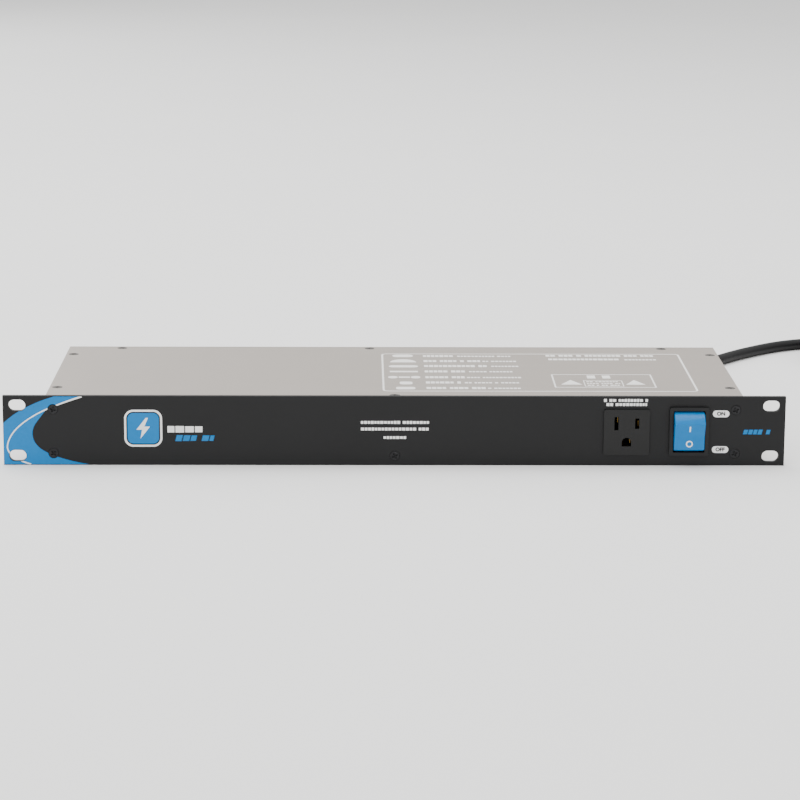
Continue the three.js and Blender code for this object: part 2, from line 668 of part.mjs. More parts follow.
// The outer shape of the wound lead: a flat ring round Z, turnsWide turns wide and two layers high.
function makeCoil(grow = 0) {
  const half = cord.diameter / 2 + 0.2 + grow;
  const inner = coil.outer - (coil.turnsWide - 1) * coil.pitch - half;
  const outer = coil.outer + half;
  const low = coil.lift - grow;
  const high = coil.lift + cord.diameter + coil.layer + grow;
  const corner = 2.5;
  const profile = [
    [inner, low + corner], [inner + corner, low], [outer - corner, low], [outer, low + corner],
    [outer, high - corner], [outer - corner, high], [inner + corner, high], [inner, high - corner],
    [inner, low + corner],
  ];
  return spun(profile, 28).rotateX(Math.PI / 2).translate(coil.x, coil.y, 0);
}

function makeTie() {
  const band = { width: 14, thick: 0.85 };
  const inner = [30.3, coil.outer + cord.diameter / 2 + 0.6];
  const low = coil.lift - clearance - 0.05;
  const high = coil.lift + cord.diameter + coil.layer + clearance;
  const outside = block(
    [inner[0] - band.thick, inner[1] + band.thick],
    [-band.width / 2, band.width / 2],
    [low - band.thick, high + band.thick],
  );
  const inside = block(inner, [-band.width, band.width], [low, high]);
  return cut(outside, [inside]);
}

function makePlugBody() {
  const backY = plug.taper;
  const body = slabAlongY(roundedRectangle(plug.width, plug.height, 5), -plug.length, 0.5, 3);
  const taper = solid(spun([[0, 0], [10.5, 0], [8, 5], [cord.diameter / 2 + 1.2, backY], [0, backY]], 18));
  const room = 2 * faceGap; // round the root of each blade and of the pin
  const rootY = [-plug.length - 1, -plug.length + blade.root + faceGap];
  const bladeRooms = [[-1, blade.line], [1, blade.neutral]].map(([side, height]) => {
    const x = side * blade.spread;
    const halfThick = blade.thick / 2 + room;
    const halfHigh = height / 2 + room;
    return block([x - halfThick, x + halfThick], rootY, [blade.z - halfHigh, blade.z + halfHigh]);
  });
  const pinRoom = bar(groundPin.radius + 2 * room, ...rootY, 0, groundPin.z, 14);
  return cut(join([body, taper]), [...bladeRooms, pinRoom]);
}

const ringRoom = solid(makeCoil(clearance));
addPiece('strain_relief', makeRelief(), 'blackNylon', [relief.x, chassis.backY, relief.z]);
const lead = solid(tube(leadRoute, cord.diameter / 2, 24, cord.sides));
const tail = solid(tube(tailRoute, cord.diameter / 2, 5, cord.sides));
addPiece('power_cord', cut(lead, [ringRoom]), 'cordJacket');
addPiece('cord_coil', makeCoil(), 'cordJacket');
addPiece('cord_tail', cut(tail, [ringRoom]), 'cordJacket');
addPiece('cord_tie', makeTie(), 'blackNylon', [coil.x, coil.y, 0], [0, 0, 47]);

const plugX = tailRoute[0][0];
const plugFaceY = plug.y - plug.taper - plug.length;
addPiece('plug_body', makePlugBody(), 'plugVinyl', [plugX, plug.y - plug.taper, plug.z]);
for (const [name, side, height] of [['line', -1, blade.line], ['neutral', 1, blade.neutral]]) {
  const x = side * blade.spread;
  const thickness = [x - blade.thick / 2, x + blade.thick / 2];
  const shape = block(thickness, [-blade.length, blade.root], [-height / 2, height / 2]);
  addPiece(`plug_${name}_blade`, shape, 'brass', [plugX, plugFaceY, plug.z + blade.z]);
}
const pinProfile = [
  [0, -groundPin.length], [groundPin.tipRadius, -groundPin.length], [groundPin.radius, -groundPin.tip],
  [groundPin.radius, blade.root], [0, blade.root],
];
addPiece('plug_ground_pin', spun(pinProfile, 14), 'brass', [plugX, plugFaceY, plug.z + groundPin.z]);

export default part;
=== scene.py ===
import json
import math

import bpy
import numpy as np
from mathutils import Matrix, Vector

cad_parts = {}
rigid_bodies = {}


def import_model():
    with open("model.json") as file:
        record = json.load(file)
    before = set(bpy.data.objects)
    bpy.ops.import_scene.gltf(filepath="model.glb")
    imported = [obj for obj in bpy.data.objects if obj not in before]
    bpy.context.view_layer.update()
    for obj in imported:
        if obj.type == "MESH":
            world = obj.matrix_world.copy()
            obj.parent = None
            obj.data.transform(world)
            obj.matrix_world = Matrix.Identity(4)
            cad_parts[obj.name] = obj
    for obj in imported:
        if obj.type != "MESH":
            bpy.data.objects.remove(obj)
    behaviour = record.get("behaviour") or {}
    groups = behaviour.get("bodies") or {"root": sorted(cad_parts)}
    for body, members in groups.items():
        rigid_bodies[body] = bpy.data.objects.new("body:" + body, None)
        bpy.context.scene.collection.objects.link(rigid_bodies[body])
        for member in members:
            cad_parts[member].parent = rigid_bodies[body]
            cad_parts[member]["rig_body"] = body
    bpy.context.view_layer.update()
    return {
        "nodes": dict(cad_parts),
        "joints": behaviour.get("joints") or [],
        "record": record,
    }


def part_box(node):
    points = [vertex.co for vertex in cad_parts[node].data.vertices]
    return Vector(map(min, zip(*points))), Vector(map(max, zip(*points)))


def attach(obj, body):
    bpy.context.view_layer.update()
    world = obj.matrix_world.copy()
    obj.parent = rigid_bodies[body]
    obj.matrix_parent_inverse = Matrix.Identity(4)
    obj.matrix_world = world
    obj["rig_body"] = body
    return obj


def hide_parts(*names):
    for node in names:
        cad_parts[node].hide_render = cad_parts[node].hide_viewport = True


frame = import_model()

mm = 0.001
scene = bpy.context.scene
joints = {joint["name"]: joint for joint in frame["joints"]}


# Small tools for meshes

# The lowest and highest corner of a CAD node, in millimetres.
def boxOf(node):
    low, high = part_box(node)
    return np.array(low) / mm, np.array(high) / mm


# Evenly spaced angles of a full circle, without its end.
def circleAngles(count):
    return np.linspace(0, 2 * np.pi, count, endpoint=False)


def addObject(name, mesh, material, body=None, smooth=True):
    piece = bpy.data.objects.new(name, mesh)
    scene.collection.objects.link(piece)
    mesh.materials.append(material)
    mesh.polygons.foreach_set("use_smooth", np.full(len(mesh.polygons), smooth))
    if body:
        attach(piece, body)
    return piece


# A mesh piece from points in millimetres and faces as rows of point numbers.
def makePiece(name, points, faces, material, body="chassis", smooth=True):
    mesh = bpy.data.meshes.new(name)
    mesh.from_pydata((np.asarray(points, float) * mm).tolist(), [], [list(face) for face in faces])
    mesh.update()
    return addObject(name, mesh, material, body, smooth)


# Quads between neighbouring rows and columns of a grid of points, the last column joined to the first.
def gridFaces(rows, columns):
    row, column = np.meshgrid(np.arange(rows - 1), np.arange(columns), indexing="ij")
    beside = (column + 1) % columns
    here, above = row * columns, (row + 1) * columns
    return np.stack([here + column, here + beside, above + beside, above + column], -1).reshape(-1, 4)


# Points and faces of a closed body from rings of points, with a fan of faces at each end.
def closedTube(grid):
    rings, around, _ = grid.shape
    points = np.vstack([grid.reshape(-1, 3), grid[0].mean(0), grid[-1].mean(0)])
    faces = gridFaces(rings, around).tolist()
    step = np.arange(around)
    ahead = (step + 1) % around
    first, last = rings * around, rings * around + 1
    faces += np.stack([np.full(around, first), ahead, step], -1).tolist()
    top = (rings - 1) * around
    faces += np.stack([np.full(around, last), top + step, top + ahead], -1).tolist()
    return points, faces


# Recalculates the faces of a closed piece so that they point outwards.
def pointOut(piece):
    bpy.ops.object.select_all(action="DESELECT")
    piece.select_set(True)
    bpy.context.view_layer.objects.active = piece
    bpy.ops.object.mode_set(mode="EDIT")
    bpy.ops.mesh.select_all(action="SELECT")
    bpy.ops.mesh.normals_make_consistent(inside=False)
    bpy.ops.object.mode_set(mode="OBJECT")
    return piece


# Rounds the edges that are sharper than the angle, by width millimetres.
def bevelEdges(piece, width, segments, angle=30):
    bevel = piece.modifiers.new("Bevel", "BEVEL")
    bevel.width = width * mm
    bevel.segments = segments
    bevel.limit_method = "ANGLE"
    bevel.angle_limit = math.radians(angle)
    bevel.harden_normals = True


def weldPoints(piece):
    weld = piece.modifiers.new("Weld", "WELD")
    weld.merge_threshold = 0.002 * mm


def applyModifiers(piece):
    graph = bpy.context.evaluated_depsgraph_get()
    mesh = bpy.data.meshes.new_from_object(piece.evaluated_get(graph))
    piece.modifiers.clear()
    piece.data = mesh


# Stands for a CAD node: the same shape, its points merged and its sharp edges rounded.
def bevelledCopy(node, material, width, segments):
    source = frame["nodes"][node]
    mesh = source.data.copy()
    mesh.materials.clear()
    piece = addObject(node + "_finished", mesh, material, source["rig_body"])
    weldPoints(piece)
    flatten = piece.modifiers.new("Planar", "DECIMATE")  # joins the triangles of each flat face
    flatten.decimate_type = "DISSOLVE"
    flatten.angle_limit = math.radians(0.5)
    bevelEdges(piece, width, segments)
    weigh = piece.modifiers.new("Flat", "WEIGHTED_NORMAL")  # keeps the large faces flat to the eye
    weigh.weight = 100
    applyModifiers(piece)
    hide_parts(node)


# Cuts the shapes of other pieces out of a piece, and removes them.
def cutAway(piece, cutters):
    for cutter in cutters:
        cut = piece.modifiers.new("Cut", "BOOLEAN")
        cut.operation = "DIFFERENCE"
        cut.object = cutter
    applyModifiers(piece)
    for cutter in cutters:
        bpy.data.objects.remove(cutter)


# Small tools for materials

# An sRGB hex colour as linear red, green, blue and alpha.
def linear(hexColour):
    parts = np.array([int(hexColour[i:i + 2], 16) for i in (0, 2, 4)]) / 255
    return (*np.where(parts <= 0.04045, parts / 12.92, ((parts + 0.055) / 1.055) ** 2.4), 1.0)


# Adds a node; inputs maps socket names to values or to the output sockets that feed them.
def addNode(tree, kind, inputs):
    node = tree.nodes.new(kind)
    for name, value in inputs.items():
        if isinstance(value, bpy.types.NodeSocket):
            tree.links.new(value, node.inputs[name])
        else:
            node.inputs[name].default_value = value
    return node


# A material and its tree, shader and object coordinates, with values set on the shader's own sockets.
def newMaterial(name, **values):
    material = bpy.data.materials.new(name)
    material.use_nodes = True
    tree = material.node_tree
    shader = tree.nodes["Principled BSDF"]
    for socket, value in values.items():
        shader.inputs[socket.replace("_", " ")].default_value = value
    coordinates = addNode(tree, "ShaderNodeTexCoord", {}).outputs["Object"]
    return material, tree, shader, coordinates


# Noise whose grains are size millimetres wide, as a value from 0 to 1.
def noiseOf(tree, coordinates, size, detail=2.0):
    inputs = {"Vector": coordinates, "Scale": 1 / (size * mm), "Detail": detail}
    return addNode(tree, "ShaderNodeTexNoise", inputs).outputs["Fac"]


# Bump from noise whose grains are size millimetres wide and height millimetres deep.
def grainBump(tree, shader, coordinates, size, height):
    noise = noiseOf(tree, coordinates, size)
    bump = addNode(tree, "ShaderNodeBump", {"Height": noise, "Distance": height * mm, "Strength": 1.0})
    tree.links.new(bump.outputs["Normal"], shader.inputs["Normal"])
    return noise


# Feeds the shader's colour with a ramp between two hex colours.
def blendColours(tree, shader, factor, low, high):
    ramp = addNode(tree, "ShaderNodeValToRGB", {"Fac": factor})
    ramp.color_ramp.elements[0].color = linear(low)
    ramp.color_ramp.elements[1].color = linear(high)
    tree.links.new(ramp.outputs["Color"], shader.inputs["Base Color"])


# Feeds the shader's roughness with values between low and high.
def varyRoughness(tree, shader, factor, low, high):
    spread = addNode(tree, "ShaderNodeMapRange", {"Value": factor, "To Min": low, "To Max": high})
    tree.links.new(spread.outputs["Result"], shader.inputs["Roughness"])


# Moulded plastic: two close colours in a faint mottle, and a fine spark-eroded grain in the gloss.
def plainPlastic(name, low, high, roughness, grain, depth, **values):
    material, tree, shader, coordinates = newMaterial(name, Roughness=roughness, **values)
    noise = grainBump(tree, shader, coordinates, grain, depth)
    mottle = noiseOf(tree, coordinates, 9, 3.0)
    blendColours(tree, shader, mottle, low, high)
    varyRoughness(tree, shader, noise, roughness - 0.06, roughness + 0.06)
    return material


# Finishes

# Black anodised aluminium, bead blasted: a soft even sheen with a very fine tooth.
def anodisedPanel():
    material, tree, shader, coordinates = newMaterial("black_anodised_aluminium", IOR=1.33)
    noise = grainBump(tree, shader, coordinates, 0.35, 0.012)
    blendColours(tree, shader, noiseOf(tree, coordinates, 40, 4.0), "111112", "151516")
    varyRoughness(tree, shader, noise, 0.42, 0.56)
    return material


# Satin galvanised steel sheet: warm grey, with the faint long streaks of rolling along it.
def platedSheet():
    material, tree, shader, coordinates = newMaterial("satin_plated_steel", Metallic=0.55)
    stretched = addNode(tree, "ShaderNodeMapping", {"Vector": coordinates, "Scale": (1.0, 14.0, 14.0)})
    streaks = noiseOf(tree, stretched.outputs["Vector"], 22, 5.0)
    blendColours(tree, shader, streaks, "a8a098", "b4aca4")
    varyRoughness(tree, shader, streaks, 0.36, 0.5)
    grainBump(tree, shader, coordinates, 0.6, 0.012)
    return material


# Bare or plated metal: its own reflections, with fine handling marks in its gloss.
def metal(name, low, high, roughness):
    material, tree, shader, coordinates = newMaterial(name, Metallic=1.0)
    noise = noiseOf(tree, coordinates, 1.5, 4.0)
    blendColours(tree, shader, noise, low, high)
    varyRoughness(tree, shader, noise, roughness - 0.08, roughness + 0.1)
    return material


# Screen printing ink: flat and slightly raised, with a faintly uneven cover.
def ink(name, colour):
    material, tree, shader, coordinates = newMaterial(name, Roughness=0.5, IOR=1.3)
    dimmer = "%02x%02x%02x" % tuple(int(int(colour[i:i + 2], 16) * 0.94) for i in (0, 2, 4))
    blendColours(tree, shader, noiseOf(tree, coordinates, 2), dimmer, colour)
    return material


# See-through blue polycarbonate, moulded glossy: light enters it and spreads under the surface.
def lensPlastic():
    material, tree, shader, coordinates = newMaterial(
        "blue_polycarbonate", Roughness=0.25, IOR=1.3, Coat_Weight=0.05, Coat_Roughness=0.12,
        Subsurface_Weight=0.15, Subsurface_Scale=3 * mm,
    )
    blendColours(tree, shader, noiseOf(tree, coordinates, 6), "0068a8", "0074b4")
    return material


panelFinish = anodisedPanel()
sheetFinish = platedSheet()
lensFinish = lensPlastic()

# Plastics: near-black and satin; the bezel is the darkest and glossiest, the lead's jacket the dullest.
outletFinish = plainPlastic("black_moulded_thermoplastic", "111111", "161616", 0.42, 0.4, 0.01, IOR=1.35)
bezelFinish = plainPlastic("black_nylon", "0a0a0b", "0f0f11", 0.34, 0.5, 0.006, IOR=1.35)
reliefFinish = plainPlastic("black_moulded_nylon", "0b0b0c", "101011", 0.42, 0.5, 0.012, IOR=1.4)
jacketFinish = plainPlastic("black_cord_jacket", "08080a", "0e0e0f", 0.5, 0.7, 0.02, IOR=1.38)
plugFinish = plainPlastic("black_moulded_vinyl", "0c0c0d", "121213", 0.42, 0.5, 0.015, IOR=1.4)

# Metals: dark screws on the panel, greyed zinc on the lid, bright nickel, warm brass and pale spring wire.
blackScrewFinish = metal("black_oxide_steel", "232324", "3a3a3b", 0.34)
zincFinish = metal("bright_zinc_plate", "4c4a47", "64615d", 0.34)
nickelFinish = metal("nickel_plate", "b9b5ac", "cfcbc2", 0.22)
brassFinish = metal("brass_strip", "8f7038", "a98a4a", 0.3)
springFinish = metal("spring_steel_wire", "8e8e8b", "a9a9a6", 0.3)

# Inks: off-white and blue on the panel, black in the white labels, a whiter white on the lid.
whiteInk = ink("white_ink", "f2f2f0")
blueInk = ink("blue_ink", "0074b4")
darkInk = ink("dark_ink", "101011")
lidInk = ink("lid_ink", "f7f6f3")
print("materials ready")


# Camera, lights and floor

view = {  # place in millimetres, turns in degrees, focal length in millimetres
    "place": (-23.43, -1716.15, 413.37), "pitch": 12.788, "yaw": -0.9253, "roll": 0.2875, "lens": 122.85,
}


# The camera looks along +Y, turned by yaw about its own down axis, then pitched down, then rolled.
def placeCamera():
    pitch, yaw, roll = (math.radians(view[key]) for key in ("pitch", "yaw", "roll"))
    base = np.array([[1, 0, 0], [0, 0, -1], [0, 1, 0]], float)
    turnX = [[1, 0, 0], [0, math.cos(pitch), -math.sin(pitch)], [0, math.sin(pitch), math.cos(pitch)]]
    turnY = [[math.cos(yaw), 0, math.sin(yaw)], [0, 1, 0], [-math.sin(yaw), 0, math.cos(yaw)]]
    turnZ = [[math.cos(roll), -math.sin(roll), 0], [math.sin(roll), math.cos(roll), 0], [0, 0, 1]]
    right, down, ahead = np.array(turnZ) @ np.array(turnX) @ np.array(turnY) @ base
    data = bpy.data.cameras.new("camera")
    data.lens = view["lens"]
    data.sensor_width = 36
    data.clip_end = 50
    camera = bpy.data.objects.new("camera", data)
    scene.collection.objects.link(camera)
    turn = np.eye(4)
    turn[:3, :3] = np.stack([right, -down, -ahead], 1)
    turn[:3, 3] = np.array(view["place"]) * mm
    camera.matrix_world = Matrix(turn.tolist())
    scene.camera = camera


lights = [  # name, place and aim in metres, size in metres, power in watts
    ("top_light", (-0.3, 0.3, 2.2), (0, 0, 0), 2.6, 70),
    ("front_light", (-0.9, -2.4, 1.3), (0, 0, 0.02), 1.8, 20),
    ("right_light", (2.2, -0.9, 1.2), (0, 0, 0.02), 1.4, 8),
    ("back_light", (-1.6, 2.4, 1.2), (0, 0, 0.02), 1.8, 30),
]


# Soft square lights, and an even white surround.
def placeLights():
    for name, place, aim, size, power in lights:
        data = bpy.data.lights.new(name, "AREA")
        data.size = size
        data.energy = power
        light = bpy.data.objects.new(name, data)
        light.location = place
        light.rotation_euler = (Vector(aim) - Vector(place)).to_track_quat("-Z", "Y").to_euler()
        scene.collection.objects.link(light)
    world = bpy.data.worlds.new("studio")
    world.use_nodes = True
    surround = world.node_tree.nodes["Background"].inputs
    surround["Color"].default_value = linear("ffffff")
    surround["Strength"].default_value = 1.0
    scene.world = world


floorSettings = {"side": 30000, "drop": 0.02, "cloud": 1000 / 3}  # in millimetres


# A pale matt sheet, a hair under the object.
def placeFloor():
    material, tree, shader, coordinates = newMaterial("pale_floor", Roughness=0.85)
    blendColours(tree, shader, noiseOf(tree, coordinates, floorSettings["cloud"]), "f4f4f3", "f8f8f7")
    side = floorSettings["side"]
    corners = np.array([(-side, -side, 0), (side, -side, 0), (side, side, 0), (-side, side, 0)])
    floor = makePiece("floor", corners - [0, 0, floorSettings["drop"]], [(0, 1, 2, 3)], material, body=None)


placeCamera()
placeLights()
placeFloor()
print("camera, lights and floor placed")


# Mains lead: its route, the coil and what is on it

lead = {
    "diameter": 7.8,
    "route": [
        (200, 107.2, 21.8), (200, 114, 21.8), (200.3, 126, 21.1), (201.8, 142, 18.5), (205, 159, 14.2),
        (210.2, 176, 9.5), (217.4, 191.5, 5.9), (226, 204.4, 4.2), (234.2, 214.3, 3.9), (241.6, 223, 3.9),
        (249.5, 232.6, 3.9), (258.5, 242.4, 3.9), (268.3, 252.1, 3.9), (278.6, 261.2, 3.9), (288.7, 269, 3.9),
        (298.5, 274.7, 3.9), (307.8, 278.6, 3.9), (322, 282.9, 3.9), (336, 285.8, 4.2), (350, 287.5, 4.8),
        (364, 288, 5.1),
    ],
    "coilCentre": (364, 236.5),
    "coilRadius": [  # turns made, and the radius there
        (0, 51.5), (0.8, 51.5), (1, 43.6), (1.8, 43.6), (2, 35.7), (3.3, 35.7), (3.55, 43.6), (4.3, 43.6),
        (4.55, 51.5), (5.25, 51.5),
    ],
    "coilHeight": [(0, 5.1), (2.55, 5.1), (2.8, 12.9), (5.25, 12.9)],  # turns made, and the height there
    "turns": 5.25,
    "perTurn": 48,
    "tail": [(415.5, 236.5, 12.9), (415.5, 226, 12.9), (415.5, 214, 12.7), (415.5, 202, 12.3), (415.5, 189.7, 12)],
}


# A straight blend that is p at start and q at end.
def mix(t, p, q, start, end):
    return ((end - t) * p + (t - start) * q) / (end - start)


# A centripetal Catmull-Rom curve through the points: between two points, three blends of straight lines.
def smoothRoute(points, step=3.0):
    points = np.array(points, float)
    ends = np.vstack([2 * points[0] - points[1], points, 2 * points[-1] - points[-2]])
    made = []
    for a, b, c, d in zip(ends[:-3], ends[1:-2], ends[2:-1], ends[3:]):
        knots = np.cumsum([0, *(np.linalg.norm(q - p) ** 0.5 for p, q in ((a, b), (b, c), (c, d)))])
        count = max(2, int(np.linalg.norm(c - b) / step))
        t = np.linspace(knots[1], knots[2], count, endpoint=False)[:, None]
        first, second, third = mix(t, a, b, *knots[:2]), mix(t, b, c, *knots[1:3]), mix(t, c, d, *knots[2:])
        fourth, fifth = mix(t, first, second, knots[0], knots[2]), mix(t, second, third, knots[1], knots[3])
        made.append(mix(t, fourth, fifth, knots[1], knots[2]))
    return np.vstack([*made, points[-1:]])


# Steps between the knots' values along half cosine waves.
def eased(t, knots):
    places, values = np.array(knots, float).T
    index = np.clip(np.searchsorted(places, t, side="right") - 1, 0, len(places) - 2)
    share = np.clip((t - places[index]) / (places[index + 1] - places[index]), 0, 1)
    return values[index] + (values[index + 1] - values[index]) * (1 - np.cos(np.pi * share)) / 2


# Turns clockwise seen from above, from the coil's far side: a circle whose radius and height change by steps.
def coilRoute():
    turn = np.arange(1, int(lead["turns"] * lead["perTurn"])) / lead["perTurn"]
    angle = np.pi / 2 - 2 * np.pi * turn
    radius = eased(turn, lead["coilRadius"])
    x, y = lead["coilCentre"]
    return np.stack([x + radius * np.cos(angle), y + radius * np.sin(angle), eased(turn, lead["coilHeight"])], 1)


leadPath = np.vstack([smoothRoute(lead["route"]), coilRoute(), smoothRoute(lead["tail"])])


# One round curve along the whole path.
def makeLead():
    data = bpy.data.curves.new("mains_lead", "CURVE")
    data.dimensions = "3D"
    data.bevel_depth = lead["diameter"] / 2 * mm
    data.bevel_resolution = 6
    data.use_fill_caps = True
    spline = data.splines.new("POLY")
    spline.points.add(len(leadPath) - 1)
    spline.points.foreach_set("co", np.hstack([leadPath * mm, np.ones((len(leadPath), 1))]).ravel())
    spline.use_smooth = True
    piece = bpy.data.objects.new("mains_lead", data)
    scene.collection.objects.link(piece)
    data.materials.append(jacketFinish)
    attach(piece, "chassis")
    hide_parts("power_cord", "cord_coil", "cord_tail")
    return piece


relief = {
    "neck": 7.8, "flange": 10.2, "base": 7.5, "tip": 5.2, "length": 32,  # radii and length
    "behindWall": -4.2, "lip": 0.05, "mouth": 3.6,
    "ribs": 6, "groove": 1.3, "grooveHalf": 0.24, "grooveFrom": 5, "grooveTo": 29,
    "windowGain": 1.6, "windowEdge": 0.25,
}


# How open a groove is round the sleeve: the root of a clipped squared wave.
def grooveWindow(wave):
    return np.clip(wave[None, :] ** 2 * relief["windowGain"] - relief["windowEdge"], 0, 1) ** 0.5


# Rings of radius r(along, around): a taper, less grooves that open on alternate sides.
def makeRelief():
    low, high = boxOf("strain_relief")
    x, z = low[[0, 2]] + (high - low)[[0, 2]] / 2
    wallY = boxOf("base_tray")[1][1]
    neck, flange, base, tip, length = (relief[key] for key in ("neck", "flange", "base", "tip", "length"))
    collar = np.array([
        (0.1, relief["behindWall"]), (neck - 0.6, relief["behindWall"]), (neck, relief["behindWall"] + 0.6),
        (neck, relief["lip"]), (flange - 0.5, relief["lip"]), (flange, 0.5), (flange, 1.6), (flange - 0.8, 2.4),
        (base + 0.3, 2.6),
    ])
    along = np.linspace(0, 1, 110)
    taper = np.stack([base + (tip - base) * along, 3 + (length - 3.4) * along], 1)
    end = np.array([(tip - 0.4, length), (relief["mouth"], length)])
    profile = np.vstack([collar, taper, end])
    around = circleAngles(64)
    share = np.clip((profile[:, 1] - relief["grooveFrom"]) / (relief["grooveTo"] - relief["grooveFrom"]), 0, 1)
    phase = share * relief["ribs"]
    inGroove = (np.abs(phase % 1 - 0.5) < relief["grooveHalf"]) & (share > 0) & (share < 1)
    even = phase.astype(int) % 2 == 0
    window = np.where(even[:, None], grooveWindow(np.cos(around)), grooveWindow(np.sin(around)))
    radius = profile[:, :1] - relief["groove"] * inGroove[:, None] * window
    behind = np.broadcast_to(wallY + profile[:, 1:], radius.shape)
    grid = np.stack([x + radius * np.cos(around), behind, z + radius * np.sin(around)], -1)
    piece = pointOut(makePiece("strain_relief_ribbed", *closedTube(grid), reliefFinish))
    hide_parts("strain_relief")
    return piece


plug = {
    "stations": [  # depth from the lead's side, half width, half height, and how square the section is
        (0, 3.7, 3.7, 2), (0.1, 5.0, 5.0, 2), (9, 6.4, 6.2, 2), (15, 8.8, 8.4, 2.4), (19, 11.3, 10.8, 3),
        (24, 12.0, 11.6, 3.6), (46, 12.2, 11.8, 4), (51.4, 12.5, 12.0, 4.4), (53.4, 12.5, 12.0, 4.4),
        (54, 12.0, 11.5, 4.4),
    ],
    "rings": 150,
    "grooves": (4, 15.5), "groovePitch": 3.2, "grooveShare": 0.35, "grooveDepth": 0.8,
    "gripAt": 36, "gripReach": 9, "gripPitch": 3.6, "gripDepth": 0.7, "gripFade": 0.7,
}


# Rings of a superellipse |x/a|^n + |z/b|^n = 1 whose a, b and n change from the lead to the blades.
def makePlug():
    low, high = boxOf("plug_body")
    x, z = (low[0] + high[0]) / 2, (low[2] + high[2]) / 2
    marks = np.array(plug["stations"], float)
    depth = np.unique(np.concatenate([np.linspace(marks[1, 0], marks[-1, 0], plug["rings"]), marks[:, 0]]))
    halfX, halfZ, power = (np.interp(depth, marks[:, 0], marks[:, k])[:, None] for k in (1, 2, 3))
    grooveFrom, grooveTo = plug["grooves"]
    wave = np.sin((depth - grooveFrom) * 2 * np.pi / plug["groovePitch"])
    groove = (wave > plug["grooveShare"]) & (depth > grooveFrom) & (depth < grooveTo)
    fromGrip = depth - plug["gripAt"]
    grip = np.clip(1 - np.abs(fromGrip) / plug["gripReach"], 0, 1) ** plug["gripFade"]
    grip = grip * (0.5 + 0.5 * np.cos(fromGrip * 2 * np.pi / plug["gripPitch"]))
    around = circleAngles(72)
    cosine, sine = np.cos(around), np.sin(around)
    scale = (np.abs(cosine) ** power + np.abs(sine) ** power) ** (-1 / power)
    sides = np.clip(np.abs(cosine) * 1.6 - 0.5, 0, 1)[None, :]  # the grip is only on the two sides
    shrink = plug["grooveDepth"] * groove[:, None] + plug["gripDepth"] * grip[:, None] * sides
    along = np.broadcast_to((high[1] - depth)[:, None], scale.shape)
    grid = np.stack([x + (halfX * scale - shrink) * cosine, along, z + (halfZ * scale - shrink * 0.9) * sine], -1)
    grid[:, :, 2] = np.maximum(grid[:, :, 2], low[2])
    piece = pointOut(makePiece("plug_moulded", *closedTube(grid), plugFinish))
    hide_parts("plug_body")
    return piece


tie = {
    "width": 13, "inner": (30.6, 55.8), "low": 0.9, "high": 17.0, "thick": 0.8, "angle": 47,
    "gap": 0.05, "edge": 0.2, "square": 7, "offFloor": 0.02,
}


# A band that follows a rounded rectangle round the bundle, its section swept along the coil's tangent.
def makeTie():
    inner, outer = tie["inner"]
    centreR, centreZ = (inner + outer) / 2, (tie["low"] + tie["high"]) / 2
    halfR, halfZ = (outer - inner) / 2, (tie["high"] - tie["low"]) / 2
    around = circleAngles(96)
    power = tie["square"]
    reach = (np.abs(np.cos(around)) ** power + np.abs(np.sin(around)) ** power) ** (-1 / power)
    half, thick = tie["width"] / 2, tie["thick"]
    section = [(tie["gap"], -half), (thick, -half + tie["edge"]), (thick, half - tie["edge"]), (tie["gap"], half)]
    grow, across = np.array(section).T[:, :, None]
    out = centreR + (halfR + grow) * reach * np.cos(around)
    up = centreZ + (halfZ + grow) * reach * np.sin(around)
    turn = math.radians(tie["angle"])
    x = lead["coilCentre"][0] + out * math.cos(turn) - across * math.sin(turn)
    y = lead["coilCentre"][1] + out * math.sin(turn) + across * math.cos(turn)
    grid = np.stack([x, y, np.maximum(up, tie["offFloor"])], -1)
    faces = gridFaces(len(section) + 1, len(around)) % (len(section) * len(around))
    piece = pointOut(makePiece("coil_tie", grid.reshape(-1, 3), faces, reliefFinish))
    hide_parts("cord_tie")
    return piece


leadPiece = makeLead()
reliefPiece = makeRelief()
plugPiece = makePlug()
tiePiece = makeTie()
print("lead, relief, plug and tie made")


# Shell, outlets and fasteners

outlets = ["front_outlet", *(name for name in frame["nodes"] if name.startswith("rear_outlet_"))]
shells = [  # nodes, finish, rounding of the edges in millimetres, its steps, and slot
    (["front_panel"], panelFinish, 0.3, 3, "anodised_panel"),
    (["base_tray", "top_cover"], sheetFinish, 0.2, 2, "painted_chassis"),
    (outlets, outletFinish, 0.3, 3, "outlet_plastic"),
    (["switch_housing"], bezelFinish, 0.4, 4, "black_nylon"),
    (["breaker_body"], bezelFinish, 0.25, 2, "black_nylon"),
    (["breaker_nut"], nickelFinish, 0.3, 3, "nickel_nut"),
]
for nodes, finish, width, segments, slot in shells:
    for node in nodes:
        bevelledCopy(node, finish, width, segments)
print("shell and outlets finished")

panelFront = boxOf("front_panel")[0][1]
lidTop = boxOf("top_cover")[1][2]

screwHead = {
    "shank": 1.5, "armLong": 1.75, "armThin": 0.42, "recess": 1.25, "wall": 0.14,
    "shallower": 0.25,  # how much shallower the cross is at the ends of its arms
    "seam": 20,  # where the mesh's first column stands, in degrees
}


# How far inside a band of the given half width a value is, from 0 to 1 over a soft wall.
def insideBand(value, half):
    return np.clip((half - np.abs(value)) / screwHead["wall"] + 0.5, 0, 1)


